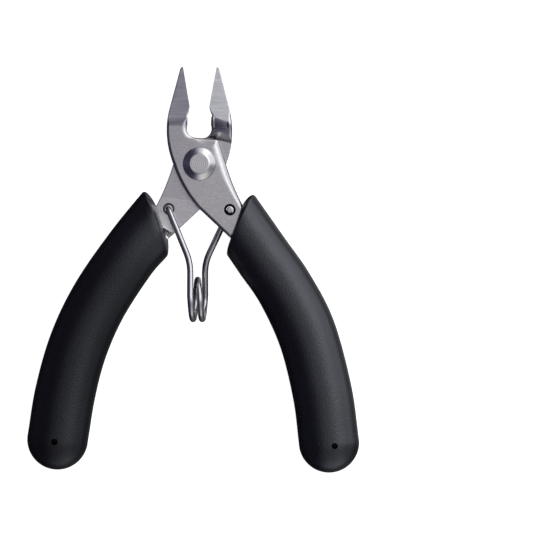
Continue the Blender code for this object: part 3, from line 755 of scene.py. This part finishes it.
def tube(points, radius, around):
    """A round wire along the points, with softly rounded ends."""
    points = np.asarray(points, float)
    tangents = np.gradient(points, axis=0)
    tangents /= np.linalg.norm(tangents, axis=1)[:, None]
    normal = unit(np.cross(tangents[0], (0.3, 0.2, 1.0)))
    rings = []
    last = len(points) - 1
    for i, (point, tangent) in enumerate(zip(points, tangents)):
        normal = unit(normal - tangent * normal.dot(tangent))
        other = np.cross(tangent, normal)
        way = 1 if i == 0 else -1
        for share, back in WIRE_END if i in (0, last) else [(1.0, 0.0)]:
            spots = []
            for k in range(around):
                angle = 2 * math.pi * k / around
                offset = normal * math.cos(angle) + other * math.sin(angle)
                spots.append(point + offset * radius * share + tangent * back * way * radius)
            rings.append(spots)
    rings[-len(WIRE_END) :] = rings[-len(WIRE_END) :][::-1]
    return loft(rings)


# ---- Objects ----


def solid(name, shape, body, slot, finish, replaced, sharp=30):
    """A mesh that rides on a body and stands for CAD nodes, from a shape in millimetres from the pivot."""
    verts, faces = shape
    mesh = bpy.data.meshes.new(name)
    mesh.from_pydata([Vector((np.asarray(v) + PIVOT) * MM) for v in verts], [], faces)
    mesh.validate()
    mesh.shade_smooth()
    mesh.set_sharp_from_angle(angle=math.radians(sharp))
    mesh.materials.append(finish)
    obj = bpy.data.objects.new(name, mesh)
    bpy.context.scene.collection.objects.link(obj)
    if body:
        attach(obj, body)
    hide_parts(*replaced)
    return obj


def paint(obj, name, value):
    """Keeps a value at each of a mesh's points, from its place in millimetres from the pivot."""
    layer = obj.data.attributes.new(name, "FLOAT", "POINT")
    places = [np.array(v.co) / MM - PIVOT for v in obj.data.vertices]
    layer.data.foreach_set("value", [float(value(*place)) for place in places])


def cut_away(obj, shape):
    """Subtracts a shape from an object's mesh for good."""
    verts, faces = shape
    mesh = bpy.data.meshes.new("cutter")
    mesh.from_pydata([Vector((np.asarray(v) + PIVOT) * MM) for v in verts], [], faces)
    cutter = bpy.data.objects.new("cutter", mesh)
    bpy.context.scene.collection.objects.link(cutter)
    cut = obj.modifiers.new("cut", "BOOLEAN")
    cut.operation = "DIFFERENCE"
    cut.solver = "EXACT"
    cut.object = cutter
    bpy.context.view_layer.update()
    shown = obj.evaluated_get(bpy.context.evaluated_depsgraph_get())
    result = bpy.data.meshes.new_from_object(shown)
    obj.modifiers.remove(cut)
    obj.data = result
    result.shade_smooth()
    result.set_sharp_from_angle(angle=math.radians(GRIP_SHARP))
    bpy.data.objects.remove(cutter, do_unlink=True)


# ---- Materials ----


class Nodes:
    """A short way to add and join nodes in a tree."""

    def __init__(self, tree):
        self.tree = tree

    def add(self, kind, **values):
        node = self.tree.nodes.new(kind)
        for key, value in values.items():
            if key in node.inputs:
                self.put(node.inputs[key], value)
            else:
                setattr(node, key, value)
        return node

    def put(self, socket, value):
        if hasattr(value, "is_output"):
            self.tree.links.new(value, socket)
        elif socket.type == "RGBA":
            socket.default_value = (*value[:3], 1)
        else:
            socket.default_value = value

    def math(self, operation, *values):
        node = self.add("ShaderNodeMath", operation=operation)
        for socket, value in zip(node.inputs, values):
            self.put(socket, value)
        return node.outputs[0]

    def span(self, value, low, high, to_low=0.0, to_high=1.0):
        """The value eased from low and high to the two results."""
        node = self.add("ShaderNodeMapRange", interpolation_type="SMOOTHSTEP")
        for socket, given in zip(node.inputs, (value, low, high, to_low, to_high)):
            self.put(socket, given)
        return node.outputs[0]

    def table(self, value, stops, peak):
        """The value, from -1 to 1, looked up on straight lines between the stops."""
        place = self.math("MULTIPLY_ADD", value, 0.5, 0.5)
        node = self.add("ShaderNodeValToRGB", Fac=place)
        elements = node.color_ramp.elements
        while len(elements) < len(stops):
            elements.new(0.5)
        for element, (x, level) in zip(elements, stops):
            element.position = (x + 1) / 2
            element.color = (level / peak, level / peak, level / peak, 1)
        return self.math("MULTIPLY", node.outputs["Color"], peak)

    def blend(self, share, first, second):
        node = self.add("ShaderNodeMix", data_type="RGBA")
        for socket, given in zip((node.inputs[0], node.inputs[6], node.inputs[7]), (share, first, second)):
            self.put(socket, given)
        return node.outputs[2]


class Surface(Nodes):
    """A Principled material."""

    def __init__(self, name, colour, roughness, metallic):
        self.material = bpy.data.materials.new(name)
        self.material.use_nodes = True
        super().__init__(self.material.node_tree)
        self.shader = self.tree.nodes["Principled BSDF"]
        self.shader.inputs["Base Color"].default_value = (*colour, 1)
        self.shader.inputs["Roughness"].default_value = roughness
        self.shader.inputs["Metallic"].default_value = metallic

    def noise(self, scale, detail=2.0, roughness=0.5, stretch=(1, 1, 1), turn=(0, 0, 0)):
        """Noise in object space, in cycles per millimetre; stretch squeezes it along an axis."""
        place = self.add("ShaderNodeTexCoord").outputs["Object"]
        mapping = self.add("ShaderNodeMapping", Vector=place)
        mapping.inputs["Scale"].default_value = [s / MM * scale for s in stretch]
        mapping.inputs["Rotation"].default_value = [math.radians(t) for t in turn]
        made = self.add("ShaderNodeTexNoise", Vector=mapping.outputs[0], Detail=detail, Roughness=roughness)
        made.inputs["Scale"].default_value = 1.0
        return made.outputs["Fac"]

    def rings(self, scale):
        """Waves around the pivot's axis, in cycles per millimetre."""
        place = self.add("ShaderNodeTexCoord").outputs["Object"]
        mapping = self.add("ShaderNodeMapping", Vector=place)
        mapping.inputs["Location"].default_value = [-p * scale for p in PIVOT]
        mapping.inputs["Scale"].default_value = [scale / MM] * 3
        made = self.add("ShaderNodeTexWave", Vector=mapping.outputs[0], Distortion=0.6, Detail=2.0)
        made.wave_type, made.rings_direction = "RINGS", "Z"
        made.inputs["Scale"].default_value = 0.314  # one wave for each unit
        return made.outputs["Fac"]

    def mark(self, name):
        """A value painted on the mesh's points."""
        return self.add("ShaderNodeAttribute", attribute_name=name).outputs["Fac"]

    def bump(self, height, strength, distance, under=None):
        node = self.add("ShaderNodeBump", Height=height, Strength=strength, Distance=distance * MM)
        if under is not None:
            self.put(node.inputs["Normal"], under)
        return node.outputs[0]


def arm_steel():
    """Satin steel, with ground jaw faces, and painted shade on the bends and in the spring holes."""
    body, jaw = (0.58, 0.565, 0.575), (0.60, 0.60, 0.63)
    # the third and fourth colours are painted shade: darker on the bends, near black in the spring holes
    bend, hole_shade = (0.34, 0.33, 0.37), (0.03, 0.03, 0.035)
    made = Surface("arm_steel", body, 0.3, 1.0)
    ground_mark, bend_shade_mark, hole_shade_mark = made.mark("ground"), made.mark("bend"), made.mark("hole_shade")
    blotch = made.noise(0.35, 3.0)
    grain = made.noise(5.0, 2.0)
    brushed = made.noise(1.0, 4.0, 0.7, (1.2, 3.0, 1.2), (0, 0, 40))
    grind = made.noise(1.0, 3.0, 0.6, (0.12, 2.6, 0.12), (0, 0, -8))
    colour = made.blend(ground_mark, body, jaw)
    # painted shade on the bends and in the spring holes
    colour = made.blend(bend_shade_mark, colour, bend)
    colour = made.blend(hole_shade_mark, colour, hole_shade)
    shade = made.math("ADD", made.math("MULTIPLY", blotch, 0.2), made.math("MULTIPLY", brushed, 0.5))
    lines = made.math("MULTIPLY", made.math("SUBTRACT", grind, brushed), ground_mark)
    shade = made.math("ADD", made.math("MULTIPLY_ADD", lines, 0.7, shade), 0.62)
    place = made.add("ShaderNodeSeparateXYZ", Vector=made.add("ShaderNodeTexCoord").outputs["Object"])
    across, along = [made.math("MULTIPLY_ADD", place.outputs[i], 1 / MM, -PIVOT[i]) for i in (0, 1)]
    past = made.math("MULTIPLY_ADD", across, RUBBED_SLOPE, along)
    rubbed = made.math("MULTIPLY", made.span(past, *RUBBED_Y, 1.0, 0.0), made.mark("rubbed"))
    shade = made.math("MULTIPLY", shade, made.math("MULTIPLY_ADD", rubbed, RUBBED, 1.0))
    darker = made.add("ShaderNodeMix", data_type="RGBA", blend_type="MULTIPLY")
    made.put(darker.inputs[0], 1.0)
    made.put(darker.inputs[6], colour)
    grey = made.add("ShaderNodeCombineColor", Red=shade, Green=shade, Blue=shade)
    made.put(darker.inputs[7], grey.outputs[0])
    made.put(made.shader.inputs["Base Color"], darker.outputs[2])
    rough = made.math("MULTIPLY_ADD", blotch, 0.1, 0.2)
    rough = made.math("MULTIPLY_ADD", hole_shade_mark, 0.4, rough)
    rough = made.math("ADD", rough, made.math("MULTIPLY", ground_mark, 0.06))
    made.put(made.shader.inputs["Roughness"], rough)
    lines = made.math("MULTIPLY", grind, ground_mark)
    first = made.bump(lines, 0.5, 0.03)
    made.put(made.shader.inputs["Normal"], made.bump(grain, 0.15, 0.01, first))
    return made.material


def turned_steel():
    """Steel with fine turned rings."""
    made = Surface("rivet_steel", (0.68, 0.67, 0.67), 0.25, 1.0)
    blotch = made.noise(0.8, 3.0)
    made.put(made.shader.inputs["Roughness"], made.math("MULTIPLY_ADD", blotch, 0.2, 0.17))
    smooth = made.bump(made.noise(0.6, 2.0), 0.4, 0.03)
    made.put(made.shader.inputs["Normal"], made.bump(made.rings(2.2), 0.5, 0.012, smooth))
    return made.material


def plain_steel(name, colour, roughness):
    """Smooth steel, a little rougher in blotches."""
    made = Surface(name, colour, roughness, 1.0)
    blotch = made.noise(0.5, 3.0)
    made.put(made.shader.inputs["Roughness"], made.math("MULTIPLY_ADD", blotch, 0.12, roughness - 0.06))
    made.put(made.shader.inputs["Normal"], made.bump(made.noise(6.0, 2.0), 0.1, 0.01))
    return made.material


def vinyl():
    """Black vinyl with a fine grain, its sheen turned down as painted shade where it is marked so."""
    made = Surface("grip_vinyl", (0.006, 0.0062, 0.007), 0.38, 0.0)
    # painted shade: less sheen where the grip is marked
    sheen = made.math("MULTIPLY_ADD", made.mark("dimmed_sheen"), -0.38, 0.9)
    made.put(made.shader.inputs["Specular IOR Level"], sheen)
    made.shader.inputs["Specular Tint"].default_value = (0.88, 0.91, 1.0, 1)
    grain = made.noise(2.6, 3.0, 0.6)
    soft = made.noise(0.35, 2.0)
    made.put(made.shader.inputs["Roughness"], made.math("MULTIPLY_ADD", soft, 0.14, 0.22))
    made.put(made.shader.inputs["Normal"], made.bump(grain, 0.6, 0.1))
    return made.material


def build():
    arms = arm_steel()
    rivet_steel = turned_steel()
    wire_steel = plain_steel("spring_wire", (0.6, 0.59, 0.6), 0.27)
    grip_vinyl = vinyl()
    shape = front_arm_mesh(step=0.3)
    front = solid("front_arm_shell", shape, "front_body", "arm_steel", arms, ["front_arm"])
    shape = rear_arm_mesh(step=0.3)
    rear = solid("rear_arm_shell", shape, "rear_body", "arm_steel", arms, ["rear_arm"])
    paint(front, "ground", lambda x, y, z: ease(*JAW_LINE, y))
    # painted shade: the front arm's bend is darker, standing for its dark reflection
    paint(front, "bend", lambda x, y, z: ease(*BEND_SHADE_LINE, y) * ease(*JAW_LINE[::-1], y))
    # painted shade: near black on the spring holes' walls and their dark rings
    paint(front, "hole_shade", lambda x, y, z: in_hole(x, y, RIGHT_HOLE))
    paint(rear, "hole_shade", lambda x, y, z: LEFT_HOLE_SHADE * in_hole(x, y, LEFT_HOLE))
    paint(rear, "rubbed", lambda x, y, z: 1)
    paint(rear, "ground", lambda x, y, z: ground_share(x, y) * (x > 0 and y > 6))
    # painted shade on the rear jaw's rise
    paint(rear, "bend", rise_shade)
    shape = rivet_mesh(count=96)
    solid("rivet", shape, "front_body", "rivet_steel", rivet_steel, ["pivot_rivet"])
    for name, outer, inner, socket_z, body, pin in (
        ("right_grip_sleeve", RIGHT_OUTER, RIGHT_INNER, RIGHT_SOCKET_Z, "front_body", RIGHT_PIN_HOLE),
        ("left_grip_sleeve", LEFT_OUTER, LEFT_INNER, LEFT_SOCKET_Z, "rear_body", LEFT_PIN_HOLE),
    ):
        shape = grip_mesh(outer, inner, socket_z, sections=110, around=96)
        node = name.replace("_sleeve", "")
        grip = solid(name, shape, body, "grip_vinyl", grip_vinyl, [node], GRIP_SHARP)
        cut_away(grip, pin_hole(pin, count=24))
        # painted shade: the left grip's sheen is turned down low on it
        paint(grip, "dimmed_sheen", lambda x, y, z: ease(*DIMMED_SHEEN_Y, y) * (x < 0))
    right = spring_half_path(RIGHT_HOLE, -1, steps=60)
    left = spring_half_path(LEFT_HOLE, 1, steps=60)
    shape = tube(right[::-1] + left[1:], WIRE_R, around=24)
    halves = ["spring_right", "spring_left"]
    wire = solid("spring_wire", shape, None, "spring_wire", wire_steel, halves)
    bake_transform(wire)


# ---- Studio ----


# Brightness of the tent from left (-1) to right (1), then its share from front (-1, the handles' end) to
# back for the light from overhead, and its share from front to back for the light from the right.
SKY_PEAK = 2.5
SKY_ACROSS = [
    (-1, 0.09), (-0.8, 0.07), (-0.5, 0.05), (-0.3, 0.12), (-0.12, 0.42), (-0.04, 0.56), (0, 0.72),
    (0.12, 0.74), (0.28, 1.45), (0.42, 2.3), (0.6, 1.7), (0.8, 1.1), (0.93, 1.2), (1, 1.1),
]  # fmt: skip
SKY_ALONG = [
    (-1, 1.2), (-0.9, 0.9), (-0.7, 0.6), (-0.4, 0.5), (-0.15, 0.65), (0, 1), (0.2, 0.85), (0.7, 0.67),
    (0.9, 1), (1, 1.2),
]  # fmt: skip
SKY_RIGHT = [
    (-1, 0.5), (-0.6, 0.3), (-0.3, 0.2), (-0.1, 0.3), (-0.05, 0.45), (0, 0.7), (0.05, 0.9), (0.12, 1),
    (1, 1),
]  # fmt: skip
BACKDROP = (0.95, 0.95, 0.95)
FLOOR_HALF, FLOOR_GLOW = 1.5, 0.92
CAMERA_AT, CAMERA_LENS = (0.01623, 0.00073, 0.8), 242.0  # in metres and millimetres


def sky(world):
    """A light tent: bright from the right, dim and bluer from the left, and one plain tone to the camera."""
    world.use_nodes = True
    tree = world.node_tree
    made = Nodes(tree)
    direction = made.add("ShaderNodeSeparateXYZ", Vector=made.add("ShaderNodeTexCoord").outputs["Generated"])
    x, y, z = direction.outputs
    across = made.table(x, SKY_ACROSS, SKY_PEAK)
    along, right = made.table(y, SKY_ALONG, 1.0), made.table(y, SKY_RIGHT, 1.0)
    share = made.math("MULTIPLY_ADD", made.span(x, 0.1, 0.35), made.math("SUBTRACT", right, along), along)
    below = made.span(z, -0.15, 0.02, 0.2, 1.0)
    tint = made.blend(made.span(x, -0.5, 0.1), (0.8, 0.78, 1.4), (1.0, 0.98, 0.99))
    tint = made.blend(made.span(x, 0.1, 0.4), tint, (0.95, 0.98, 1.02))
    scaled = made.add("ShaderNodeVectorMath", operation="SCALE")
    made.put(scaled.inputs[0], tint)
    made.put(scaled.inputs["Scale"], made.math("MULTIPLY", made.math("MULTIPLY", across, share), below))
    to_camera = made.add("ShaderNodeLightPath").outputs["Is Camera Ray"]
    seen = made.blend(to_camera, scaled.outputs[0], BACKDROP)
    background = tree.nodes["Background"]
    made.put(background.inputs["Color"], seen)
    background.inputs["Strength"].default_value = 1.0


def studio():
    """The white floor, the tent and the camera straight above."""
    plane = bpy.data.meshes.new("floor")
    half = FLOOR_HALF
    corners = [(-half, -half, 0), (half, -half, 0), (half, half, 0), (-half, half, 0)]
    plane.from_pydata(corners, [], [(0, 1, 2, 3)])
    white = Surface("floor_white", (0.9, 0.9, 0.9), 0.9, 0.0)
    white.shader.inputs["Emission Color"].default_value = (1, 1, 1, 1)
    white.shader.inputs["Emission Strength"].default_value = FLOOR_GLOW
    plane.materials.append(white.material)
    floor = bpy.data.objects.new("floor", plane)
    floor.visible_glossy = False
    bpy.context.scene.collection.objects.link(floor)

    world = bpy.data.worlds.new("studio")
    bpy.context.scene.world = world
    sky(world)

    camera = bpy.data.cameras.new("camera")
    camera.sensor_width = 36.0
    camera.lens = CAMERA_LENS
    camera.clip_start, camera.clip_end = 0.05, 20
    obj = bpy.data.objects.new("camera", camera)
    obj.location = CAMERA_AT
    bpy.context.scene.collection.objects.link(obj)
    bpy.context.scene.camera = obj
    bpy.context.scene.view_settings.view_transform = "Standard"


build()
studio()
